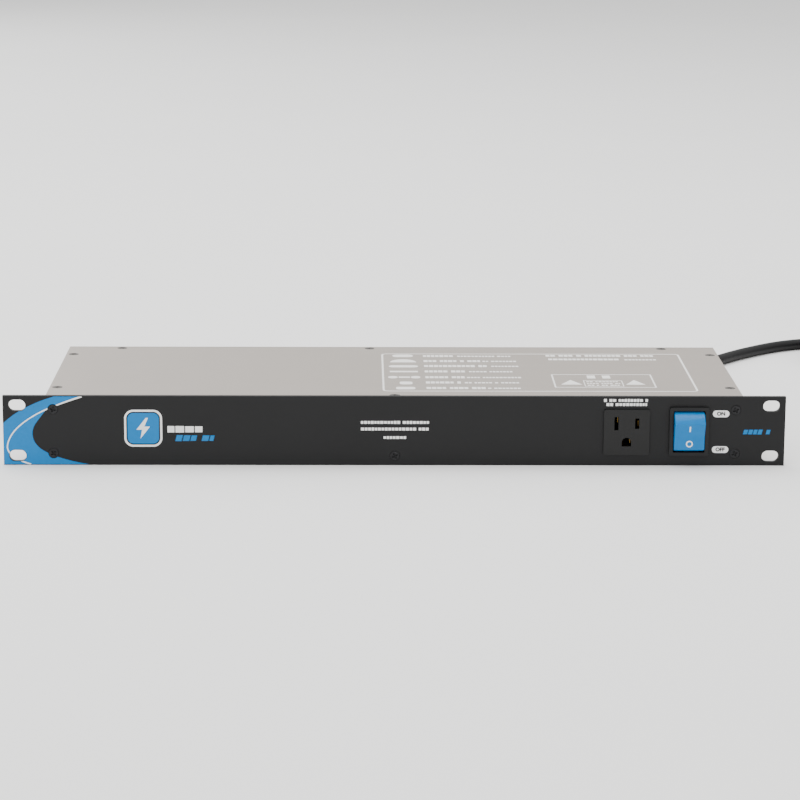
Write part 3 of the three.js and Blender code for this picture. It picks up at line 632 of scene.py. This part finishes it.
# A spun profile whose flat top sinks by a cross: depth = recess * (in one arm or in the other), with soft walls.
def makeScrew(node, finish, onLid):
    low, high = boxOf(node)
    centre = (low + high) / 2
    radius = (high[0] - low[0]) / 2 + 0.05
    length = high[2] - low[2] if onLid else high[1] - low[1]
    shank, armLong, armThin = screwHead["shank"], screwHead["armLong"], screwHead["armThin"]
    top = np.stack([np.linspace(0.05, radius - 0.3, 22), np.zeros(22)], 1)
    rim = [(radius - 0.12, 0.02), (radius - 0.02, 0.1), (radius, 0.22), (shank + 0.1, 1.6)]
    profile = np.vstack([top, rim, [(shank, 1.8), (shank, length - 0.1)]])
    around = circleAngles(64) + math.radians(screwHead["seam"])
    a = profile[:, :1] * np.cos(around)
    b = profile[:, :1] * np.sin(around)
    turn = math.radians(screwTurn[node])
    one = a * math.cos(turn) + b * math.sin(turn)
    other = -a * math.sin(turn) + b * math.cos(turn)
    arms = np.maximum(insideBand(one, armLong) * insideBand(other, armThin),
                      insideBand(other, armLong) * insideBand(one, armThin))
    onTop = profile[:, 1:] < 0.01
    taper = 1 - screwHead["shallower"] * profile[:, :1] / armLong
    depth = profile[:, 1:] + arms * screwHead["recess"] * onTop * taper
    if onLid:
        grid = np.stack([centre[0] + a, centre[1] + b, lidTop - depth], -1)
    else:
        grid = np.stack([centre[0] + a, panelFront + depth, centre[2] + b], -1)
    piece = pointOut(makePiece(node + "_finished", *closedTube(grid), finish))
    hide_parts(node)


random = np.random.default_rng(7)
screws = sorted(name for name in frame["nodes"] if name.startswith(("panel_screw_", "cover_screw_")))
screwTurn = dict(zip(screws, random.uniform(0, 90, len(screws))))  # how far each cross stands turned, in degrees
for node in screws:
    onLid = node.startswith("cover")
    makeScrew(node, zincFinish if onLid else blackScrewFinish, onLid)
print("screws made")


# Rocker: its shape, and the marks on its face

rocker = {
    "radius": 12.8, "crease": 43.3, "reach": 113, "dip": 1.0, "halfWidth": 9.4, "wall": 1.6, "rest": 15,
    "round": 0.7, "bevel": 0.22, "sharp": 35,
    # round parts by radius: the plunger's sleeve and its bore, along Y, and the pins, along X
    "sleeve": 2.7, "sleeveBehindFace": 1.8, "sleeveEnd": 4.5, "bore": 2.0, "boreFrom": -6.2, "boreTo": 5.0,
    "pin": 1.35, "pinOut": 1.2, "pinLong": 1.7,
}
pivot = np.array(joints["rocker_press"]["pos_m"]) / mm
rockerFace = rocker["radius"] * math.cos(math.radians(rocker["crease"]))
rockerEdge = rocker["radius"] * math.sin(math.radians(rocker["crease"]))


# A point of the rocker drawn level, tilted to the rest position about the pivot.
def tilted(x, y, z):
    turn = math.radians(rocker["rest"])
    tiltedY = pivot[1] + y * math.cos(turn) - z * math.sin(turn)
    tiltedZ = pivot[2] + y * math.sin(turn) + z * math.cos(turn)
    return np.stack([pivot[0] + x, tiltedY, tiltedZ], -1)


# The rocker's face: a parabola between the two creases, deepest in the middle.
def faceDepth(z):
    return -(rockerFace - rocker["dip"] * (1 - (z / rockerEdge) ** 2))


# The side view, inset all round: the face's parabola, then an arc round the pivot behind each crease.
def rockerOutline(inset):
    radius = rocker["radius"] - inset
    start = math.degrees(math.acos((rockerFace - inset) / radius))
    edge = radius * math.sin(math.radians(start))
    z = np.linspace(-edge, edge, 41)
    face = np.stack([faceDepth(z) + inset, z], 1)
    angle = np.radians(np.linspace(start, rocker["reach"], 36)[1:])
    arc = np.stack([-radius * np.cos(angle), radius * np.sin(angle)], 1)
    return face, arc


# A closed body from side views of the rocker and the place of each along X.
def rockerBody(name, outlines, places, body=None):
    rings = [tilted(np.full(len(outline), x), *outline.T) for outline, x in zip(outlines, places)]
    return pointOut(makePiece(name, *closedTube(np.array(rings)), lensFinish, body=body))


# A round bar on the rocker, along its own Y or X, from start to end.
def rockerBar(name, radius, start, end, alongX=False):
    angle = circleAngles(32)
    side, up = radius * np.cos(angle), radius * np.sin(angle)
    ends = [np.full(32, start), np.full(32, end)]
    rings = [tilted(level, side, up) if alongX else tilted(side, level, up) for level in ends]
    return pointOut(makePiece(name, *closedTube(np.array(rings)), lensFinish, body=None))


# The outline carried across X and rounded at both sides, hollowed from behind by a smaller one, with the
# plunger's sleeve and the two pivot pins.
def makeRocker():
    face, arc = rockerOutline(0)
    outline = np.vstack([face, arc, (arc * [1, -1])[::-1]])
    step = np.radians(np.linspace(0, 90, 6))
    inset = rocker["round"] * (1 - np.sin(step))
    side = rocker["halfWidth"] - rocker["round"] * (1 - np.cos(step))
    places, gaps = zip(*sorted([*zip(-side, inset), *zip(side, inset)]))
    size = np.linalg.norm(outline, axis=1)
    outlines = [outline * (1 - gap / size)[:, None] for gap in gaps]
    piece = rockerBody("rocker_lens", outlines, places, body="rocker")
    bevelEdges(piece, rocker["bevel"], 3, rocker["sharp"])
    applyModifiers(piece)

    face, arc = rockerOutline(rocker["wall"])
    back = np.array([[rocker["radius"], arc[-1, 1]]])
    room = np.vstack([face, arc, back, back * [1, -1], (arc * [1, -1])[::-1]])
    inner = rocker["halfWidth"] - rocker["wall"]
    cutAway(piece, [rockerBody("rocker_room", [room, room], (-inner, inner))])

    sleeve = rockerBar("sleeve", rocker["sleeve"], rocker["sleeveBehindFace"] - rockerFace, rocker["sleeveEnd"])
    cutAway(sleeve, [rockerBar("sleeve_bore", rocker["bore"], rocker["boreFrom"], rocker["boreTo"])])
    reach = rocker["halfWidth"] + rocker["pinOut"]
    ends = [(sign * (reach - rocker["pinLong"]), sign * reach) for sign in (-1, 1)]
    pins = [rockerBar("pin", rocker["pin"], start, end, alongX=True) for start, end in ends]
    bpy.ops.object.select_all(action="DESELECT")
    for extra in (sleeve, *pins, piece):
        extra.select_set(True)
    bpy.context.view_layer.objects.active = piece
    bpy.ops.object.join()
    piece.data.polygons.foreach_set("use_smooth", np.full(len(piece.data.polygons), True))
    piece.data.set_sharp_from_angle(angle=math.radians(rocker["sharp"]))
    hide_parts("rocker")


makeRocker()
print("rocker made")


# Prints: flat patches of ink, each a closed outline with a little thickness

inkLayer = {"height": 0.05, "root": 0.1}  # how far it stands out of the surface, and reaches into it


# Points of a print at a height over the panel, the lid or the rocker's face.
def onSurface(place, a, b, height):
    if place == "panel":
        return np.stack([a, np.full(len(a), panelFront - height), b], -1)
    if place == "lid":
        return np.stack([a, b, np.full(len(a), lidTop + height)], -1)
    return tilted(a, faceDepth(b) - height, b)


# One piece of ink from flat outlines: a front face, a back face and a rim for each.
def printPatches(name, outlines, place, finish, body="chassis", height=inkLayer["height"]):
    points, faces, start = [], [], 0
    for outline in outlines:
        a, b = np.array(outline, float).T
        count = len(a)
        points += [onSurface(place, a, b, height), onSurface(place, a, b, -inkLayer["root"])]
        step = np.arange(count)
        ahead = (step + 1) % count
        faces.append((start + step).tolist())
        faces.append((start + count + step[::-1]).tolist())
        rim = [start + ahead, start + step, start + count + step, start + count + ahead]
        faces += np.stack(rim, -1).tolist()
        start += 2 * count
    return pointOut(makePiece(name, np.vstack(points), faces, finish, body, smooth=False))


# The outline of a rectangle round x, y; with a corner radius, each corner is nine points of a circle.
def bar(x, y, width, height, corner=0.0):
    signs = np.array([(1, 1), (-1, 1), (-1, -1), (1, -1)])
    if corner == 0:
        return (signs[[2, 3, 0, 1]] * [width / 2, height / 2] + [x, y]).tolist()
    angle = np.radians(np.arange(5, 365, 10))
    centres = signs[np.arange(36) // 9] * [width / 2 - corner, height / 2 - corner]
    return (centres + np.stack([np.cos(angle), np.sin(angle)], 1) * corner + [x, y]).tolist()


# Two half rings that make a closed frame between an outer and an inner outline of as many points.
def frameOf(outer, inner):
    outer, inner = np.array(outer), np.array(inner)
    count = len(outer)
    halves = [np.arange(0, count // 2 + 1), np.arange(count // 2, count + 1) % count]
    return [np.vstack([outer[rows], inner[rows][::-1]]).tolist() for rows in halves]


# A frame of even line width round x, y, with the corner radii of its outer and inner edge.
def framedBar(x, y, width, height, line, outerCorner, innerCorner):
    inner = bar(x, y, width - 2 * line, height - 2 * line, innerCorner)
    return frameOf(bar(x, y, width, height, outerCorner), inner)


# How blocks that stand in for letters vary: share of the letter's width and of the line's height, and spaces.
letters = {"widths": (0.75, 1.15), "heights": (0.86, 1.0), "spaceOdds": 0.14, "space": 0.7}


# A line of blocks that stand in for letters, between x0 and x1.
def wordBlocks(x0, x1, y, height, letter, gap=0.4, slant=0.0):
    blocks, x = [], x0
    while x < x1 - letter * 0.5:
        width = min(letter * random.uniform(*letters["widths"]), x1 - x)
        wordEnds = random.uniform() < letters["spaceOdds"]
        corners = np.array(bar(x + width / 2, y, width, height * random.uniform(*letters["heights"])))
        corners[:, 0] += (corners[:, 1] - y) * slant
        blocks.append(corners.tolist())
        x += width + gap + (letter * letters["space"] if wordEnds else 0)
    return blocks


# Several lines of blocks in one list; each row holds what wordBlocks takes.
def wordRows(rows):
    return [block for row in rows for block in wordBlocks(*row)]


# A smooth curve through flat points, in steps of about a millimetre.
def flatRoute(points):
    return smoothRoute([(x, y, 0) for x, y in points], 1.0)[:, :2]


sweep = {
    "outer": [(-241.15, 26.4), (-236.9, 30.1), (-232.3, 33.3), (-225.9, 36.9), (-218.4, 40.3), (-209.6, 43.35)],
    "line": [
        (-192.6, 43.3), (-200.4, 40.7), (-207.9, 37.9), (-214.6, 35.1), (-221.8, 31.4), (-229.3, 26.3),
        (-234.9, 20.8), (-238.0, 15.4), (-238.9, 11.0), (-237.5, 7.4), (-234, 4.4), (-229.2, 2.0), (-224.5, 0.4),
    ],
    "inner": [
        (-214.6, 35.0), (-218.9, 29.4), (-222.2, 24.6), (-223.3, 20), (-222.3, 15.1), (-219.1, 10.9),
        (-213.9, 7.6), (-207.6, 5.0), (-198.1, 2.3), (-188.6, 0.4),
    ],
    "shared": 4,  # how many of the line's points come before the inner edge leaves it
    "corner": (-241.15, 0.35),
    "widths": [1.1, 0.8, 0.75, 0.8, 0.9],
    "heights": (0.35, 43.3),  # the line is kept on the panel, between these
    "slot": (10.9, 7.5, 3.74), "screwRoom": 3.35,
}


# A strip along a line: the line's points moved to each side by half the width.
def strip(points, widths):
    line = flatRoute(points)
    along = np.gradient(line, axis=0)
    normal = np.stack([-along[:, 1], along[:, 0]], 1) / np.linalg.norm(along, axis=1)[:, None]
    half = np.interp(np.linspace(0, 1, len(line)), np.linspace(0, 1, len(widths)), widths)[:, None] / 2
    edge = np.vstack([line + normal * half, (line - normal * half)[::-1]])
    return np.column_stack([edge[:, 0], np.clip(edge[:, 1], *sweep["heights"])]).tolist()


# A straight cutter with the given outline, from 3 mm in front of the panel's face to 3 mm behind it.
def panelCutter(name, outline):
    depths = (panelFront - 3, panelFront + 3)
    rings = [np.column_stack([outline[:, 0], np.full(len(outline), y), outline[:, 1]]) for y in depths]
    return pointOut(makePiece(name, *closedTube(np.array(rings)), whiteInk, body=None))


# Cuts the rack slots and screw holes out of a print on the panel's left end.
def clearHoles(piece):
    slots = [opening["box_m"] for opening in frame["record"]["physics"]["openings"] if "left" in opening["name"]]
    cutters = []
    for number, (low, high) in enumerate(slots):
        centre = (np.array(low) + np.array(high)) / 2 / mm
        cutters.append(panelCutter(f"slot_cutter_{number}", np.array(bar(centre[0], centre[2], *sweep["slot"]))))
    for node in ("panel_screw_1", "panel_screw_2"):
        centre = sum(boxOf(node)) / 2
        angle = circleAngles(48)
        circle = np.stack([np.cos(angle), np.sin(angle)], 1) * sweep["screwRoom"] + centre[[0, 2]]
        cutters.append(panelCutter(f"{node}_cutter", circle))
    cutAway(piece, cutters)


# The edge of the blue field: the outer curve, the line as far as the inner curve, the inner curve, the corner.
def printSweep():
    shared = len(flatRoute(sweep["line"][:sweep["shared"]]))
    edges = [flatRoute(sweep["outer"]), flatRoute(sweep["line"])[:shared], flatRoute(sweep["inner"])[1:]]
    blue = np.vstack([*edges, [sweep["corner"]]])
    clearHoles(printPatches("print_sweep_blue", [blue], "panel", blueInk, height=0.03))
    line = strip(sweep["line"], sweep["widths"])
    clearHoles(printPatches("print_sweep_line", [line], "panel", whiteInk, height=0.06))


panelPrint = {
    "badge": (-155.1, 23.3), "badgeOuter": (23.4, 23.4, 5.6), "badgeInner": (20.9, 20.9, 4.4),
    "badgeFill": (19.4, 19.4, 3.7),
    "bolt": [(1.6, 6.6), (-4.2, -0.9), (-0.7, -0.9), (-1.8, -6.6), (4.2, 1.1), (0.7, 1.1), (3.0, 6.6)],
    "words": [  # name, ink, and rows of: start, end, height on the panel, letter height and width, gap, slant
        ("print_title", whiteInk, [(-140.2, -118.4, 22.7, 4.3, 4.6, 0.7)]),
        ("print_subtitle", blueInk, [(-135.0, -111.6, 17.1, 3.9, 4.0, 0.7, 0.25)]),
        ("print_centre_words", whiteInk, [
            (-21, 21, 27.2, 1.9, 1.75), (-21, 21, 23.0, 1.9, 1.75), (-7, 7, 17.6, 1.8, 1.75),
        ]),
        ("print_outlet_words", whiteInk, [(128.8, 157.4, 41.3, 1.9, 1.7), (130.4, 155.4, 38.7, 1.9, 1.7)]),
        ("print_corner_words", blueInk, [(215.6, 232.4, 21.4, 3.2, 2.9, 0.55, 0.25)]),
    ],
    "labels": [("on", "ON", (201.4, 32.9)), ("off", "OFF", (201.4, 10.2))],
    "pill": (10.2, 4.3, 2.14),
}
letterShape = {"height": 2.3, "fontScale": 1.4, "thick": 0.06, "bolder": 0.15, "proud": 0.04}


# Badge, lines of blocks, and the two white labels beside the switch.
def printPanel():
    x, z = panelPrint["badge"]
    edge = frameOf(bar(x, z, *panelPrint["badgeOuter"]), bar(x, z, *panelPrint["badgeInner"]))
    printPatches("print_badge_frame", edge, "panel", whiteInk)
    printPatches("print_badge", [bar(x, z, *panelPrint["badgeFill"])], "panel", blueInk)
    bolt = [(x + a, z + b) for a, b in panelPrint["bolt"]]
    printPatches("print_badge_bolt", [bolt], "panel", whiteInk, height=0.09)
    for name, finish, rows in panelPrint["words"]:
        printPatches(name, wordRows(rows), "panel", finish)
    for name, _, place in panelPrint["labels"]:
        printPatches(f"print_{name}_pill", [bar(*place, *panelPrint["pill"])], "panel", whiteInk)


# A short word in plain letters, standing on the panel.
def printWord(name, text, place):
    data = bpy.data.curves.new(name, "FONT")
    data.body = text
    data.size = letterShape["height"] * letterShape["fontScale"] * mm
    data.align_x, data.align_y = "CENTER", "CENTER"
    data.extrude = letterShape["thick"] * mm
    data.offset = letterShape["bolder"] * mm
    word = bpy.data.objects.new(name, data)
    scene.collection.objects.link(word)
    bpy.context.view_layer.update()
    mesh = bpy.data.meshes.new_from_object(word.evaluated_get(bpy.context.evaluated_depsgraph_get()))
    bpy.data.objects.remove(word)
    centre = Vector((place[0], panelFront - letterShape["proud"], place[1])) * mm
    mesh.transform(Matrix.Translation(centre) @ Matrix.Rotation(math.pi / 2, 4, "X"))
    mesh.materials.clear()
    piece = addObject(name, mesh, darkInk, "chassis", smooth=False)
    weldPoints(piece)
    applyModifiers(piece)
    pointOut(piece)


rockerMarks = {"bar": (0, 5.35, 0.84, 3.9), "barSteps": 9, "ringAt": -5.0, "ring": (2.15, 1.4)}


# The line and the ring on the rocker's face.
def printRocker():
    x, z, width, height = rockerMarks["bar"]
    level = np.linspace(z - height / 2, z + height / 2, rockerMarks["barSteps"])
    side = np.full(len(level), width / 2)
    mark = np.vstack([np.column_stack([x + side, level]), np.column_stack([x - side, level[::-1]])])
    printPatches("print_rocker_on", [mark], "rocker", whiteInk, body="rocker")
    angle = circleAngles(48)
    circles = [np.stack([radius * np.cos(angle), rockerMarks["ringAt"] + radius * np.sin(angle)], 1)
               for radius in rockerMarks["ring"]]
    printPatches("print_rocker_off", frameOf(*circles), "rocker", whiteInk, body="rocker")


lidPrint = {
    "frame": (91.0, -4.0, 196.9, 114.0, 1.2, 4, 2.8),
    "rows": [  # place across the lid, and where the bold part ends
        (45.5, 41), (29.5, 57), (14, 62), (-2.5, 47), (-20, 45), (-35.5, 43), (-51.5, 57),
    ],
    "rowStart": 20, "rowEnds": (76, 86), "bold": (6.2, 2.6, 0.5), "regular": (3.6, 1.9, 0.5),
    "heading": [(101, 172, 47, 5.6, 2.8, 0.5), (102, 150, 35.5, 5.4, 2.8, 0.5), (152, 174, 34.6, 3.6, 1.9, 0.5)],
    "firstIcon": (6.6, 46, 13.5, 8, 3.5),
    "dome": (6.6, 25.5, 8.5, 9.5),
    "icons": [
        (6.6, 13, 19, 6.5, 3.2), (6.6, -3, 18, 4.2), (-0.6, -20, 6, 7, 3), (13.8, -20, 6, 7, 3), (6.6, -20, 7, 4),
        (7.5, -37, 8, 8, 2), (7, -52, 12, 7, 2),
    ],
    "notice": (132.5, -30.2, 64.0, 38.5, 1, 0.6, 0.3),
    "triangles": [[(105, -41), (118.4, -41), (111.7, -27.5)], [(145.9, -41), (158.2, -41), (152, -27.5)]],
    "noticeWords": (123, 141, -18.5, 9.5, 5.2, 0.8),
    "plateOuter": (132, -37.7, 24.7, 17.6, 0.5), "plateInner": (132, -37.7, 23.5, 16.2, 0.3),
    "plateWords": [(121.5, 142.5, y, 2.6, 1.8, 0.4) for y in (-32.5, -37.7, -42.9)],
}


# A framed field with a column of icons, rows of bold and regular blocks, and a small framed box.
def printLid():
    printPatches("print_lid_frame", framedBar(*lidPrint["frame"]), "lid", lidInk)
    words = []
    for y, boldEnd in lidPrint["rows"]:
        words += wordBlocks(lidPrint["rowStart"], boldEnd, y, *lidPrint["bold"])
        words += wordBlocks(boldEnd + 1.5, random.uniform(*lidPrint["rowEnds"]), y - 0.6, *lidPrint["regular"])
    words += wordRows(lidPrint["heading"])
    printPatches("print_lid_words", words, "lid", lidInk)
    x, y, halfWidth, height = lidPrint["dome"]
    dome = [(x + halfWidth * math.cos(t), y + height * math.sin(t)) for t in np.linspace(0, math.pi, 16)]
    icons = [bar(*lidPrint["firstIcon"]), dome, *(bar(*icon) for icon in lidPrint["icons"])]
    printPatches("print_lid_icons", icons, "lid", lidInk)
    printPatches("print_notice_frame", framedBar(*lidPrint["notice"]), "lid", lidInk)
    notice = lidPrint["triangles"] + wordBlocks(*lidPrint["noticeWords"])
    printPatches("print_notice", notice, "lid", lidInk)
    plate = frameOf(bar(*lidPrint["plateOuter"]), bar(*lidPrint["plateInner"]))
    printPatches("print_notice_plate", plate, "lid", lidInk)
    printPatches("print_notice_words", wordRows(lidPrint["plateWords"]), "lid", lidInk)


printSweep()
printPanel()
for name, text, place in panelPrint["labels"]:
    printWord(f"print_{name}_word", text, place)
printRocker()
printLid()
print("prints made")


# Small and inner pieces keep their own shape

# Gives a CAD node that keeps its shape the finish of its real material.
def dress(node, finish):
    mesh = frame["nodes"][node].data
    mesh.materials.clear()
    mesh.materials.append(finish)


keptNodes = [
    (brassFinish, [
        "line_bus", "neutral_bus", "ground_bus", "front_outlet_line_contact", "front_outlet_neutral_contact",
        "front_outlet_ground_contact", "contact_lever", "switch_terminal_1", "switch_terminal_2",
        "switch_terminal_3",
    ]),
    (nickelFinish, ["plug_line_blade", "plug_neutral_blade", "plug_ground_pin"]),
    (springFinish, ["plunger_spring"]),
    (outletFinish, ["plunger"]),
    (zincFinish, ["ground_screw"]),
    (reliefFinish, ["line_wire"]),
]
for finish, nodes in keptNodes:
    for node in nodes:
        dress(node, finish)

# Material, colour and roughness of the nodes that have a smooth plastic, lacquer or glass of their own.
smoothNodes = {
    "filter_board": ("green_circuit_board", "2c6a3a", 0.4),
    "filter_choke": ("lacquered_copper_winding", "7a4c28", 0.3),
    "filter_capacitor": ("yellow_capacitor_box", "c2ab3c", 0.4),
    "surge_varistor": ("blue_epoxy_dip", "2c5aa2", 0.35),
    "neutral_wire": ("white_wire_insulation", "e2e0da", 0.45),
    "ground_wire": ("green_wire_insulation", "35823c", 0.45),
    "switch_lamp": ("clear_lamp_glass", "dcebf3", 0.1),
}
for node, (name, colour, roughness) in smoothNodes.items():
    dress(node, plainPlastic(name, colour, colour, roughness, 0.8, 0.01))

button = {"shoulder": 1.4, "corner": 1.0, "crown": 0.4, "flat": 0.6, "crownSteps": (0.6, 0.3, 0.03)}


# The breaker's button: a spun profile with a rounded corner and a crowned end.
def makeButton():
    low, high = boxOf("breaker_button")
    x, z = (low[0] + high[0]) / 2, (low[2] + high[2]) / 2
    radius = (high[2] - low[2]) / 2
    corner, crown, shoulderY = button["corner"], button["crown"], high[1] - button["shoulder"]
    turn = np.radians(np.linspace(0, 90, 8))
    side = [(0.1, low[1]), (radius, low[1]), (radius, shoulderY)]
    rounded = np.stack([radius - corner + corner * np.cos(turn), shoulderY + corner * np.sin(turn)], 1)
    rise = [high[1] - crown + crown * (1 - share ** 2) / button["flat"] for share in button["crownSteps"]]
    top = np.column_stack([radius * np.array(button["crownSteps"]), rise])
    profile = np.vstack([side, rounded, top])
    profile[:, 1] = np.minimum(profile[:, 1], high[1])
    around = circleAngles(48)
    out = profile[:, :1]
    behind = np.broadcast_to(profile[:, 1:], (len(profile), len(around)))
    grid = np.stack([x + out * np.cos(around), behind, z + out * np.sin(around)], -1)
    name = "breaker_button_finished"
    piece = pointOut(makePiece(name, *closedTube(grid), outletFinish, body="breaker_button"))
    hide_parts("breaker_button")


makeButton()
print("small pieces dressed")
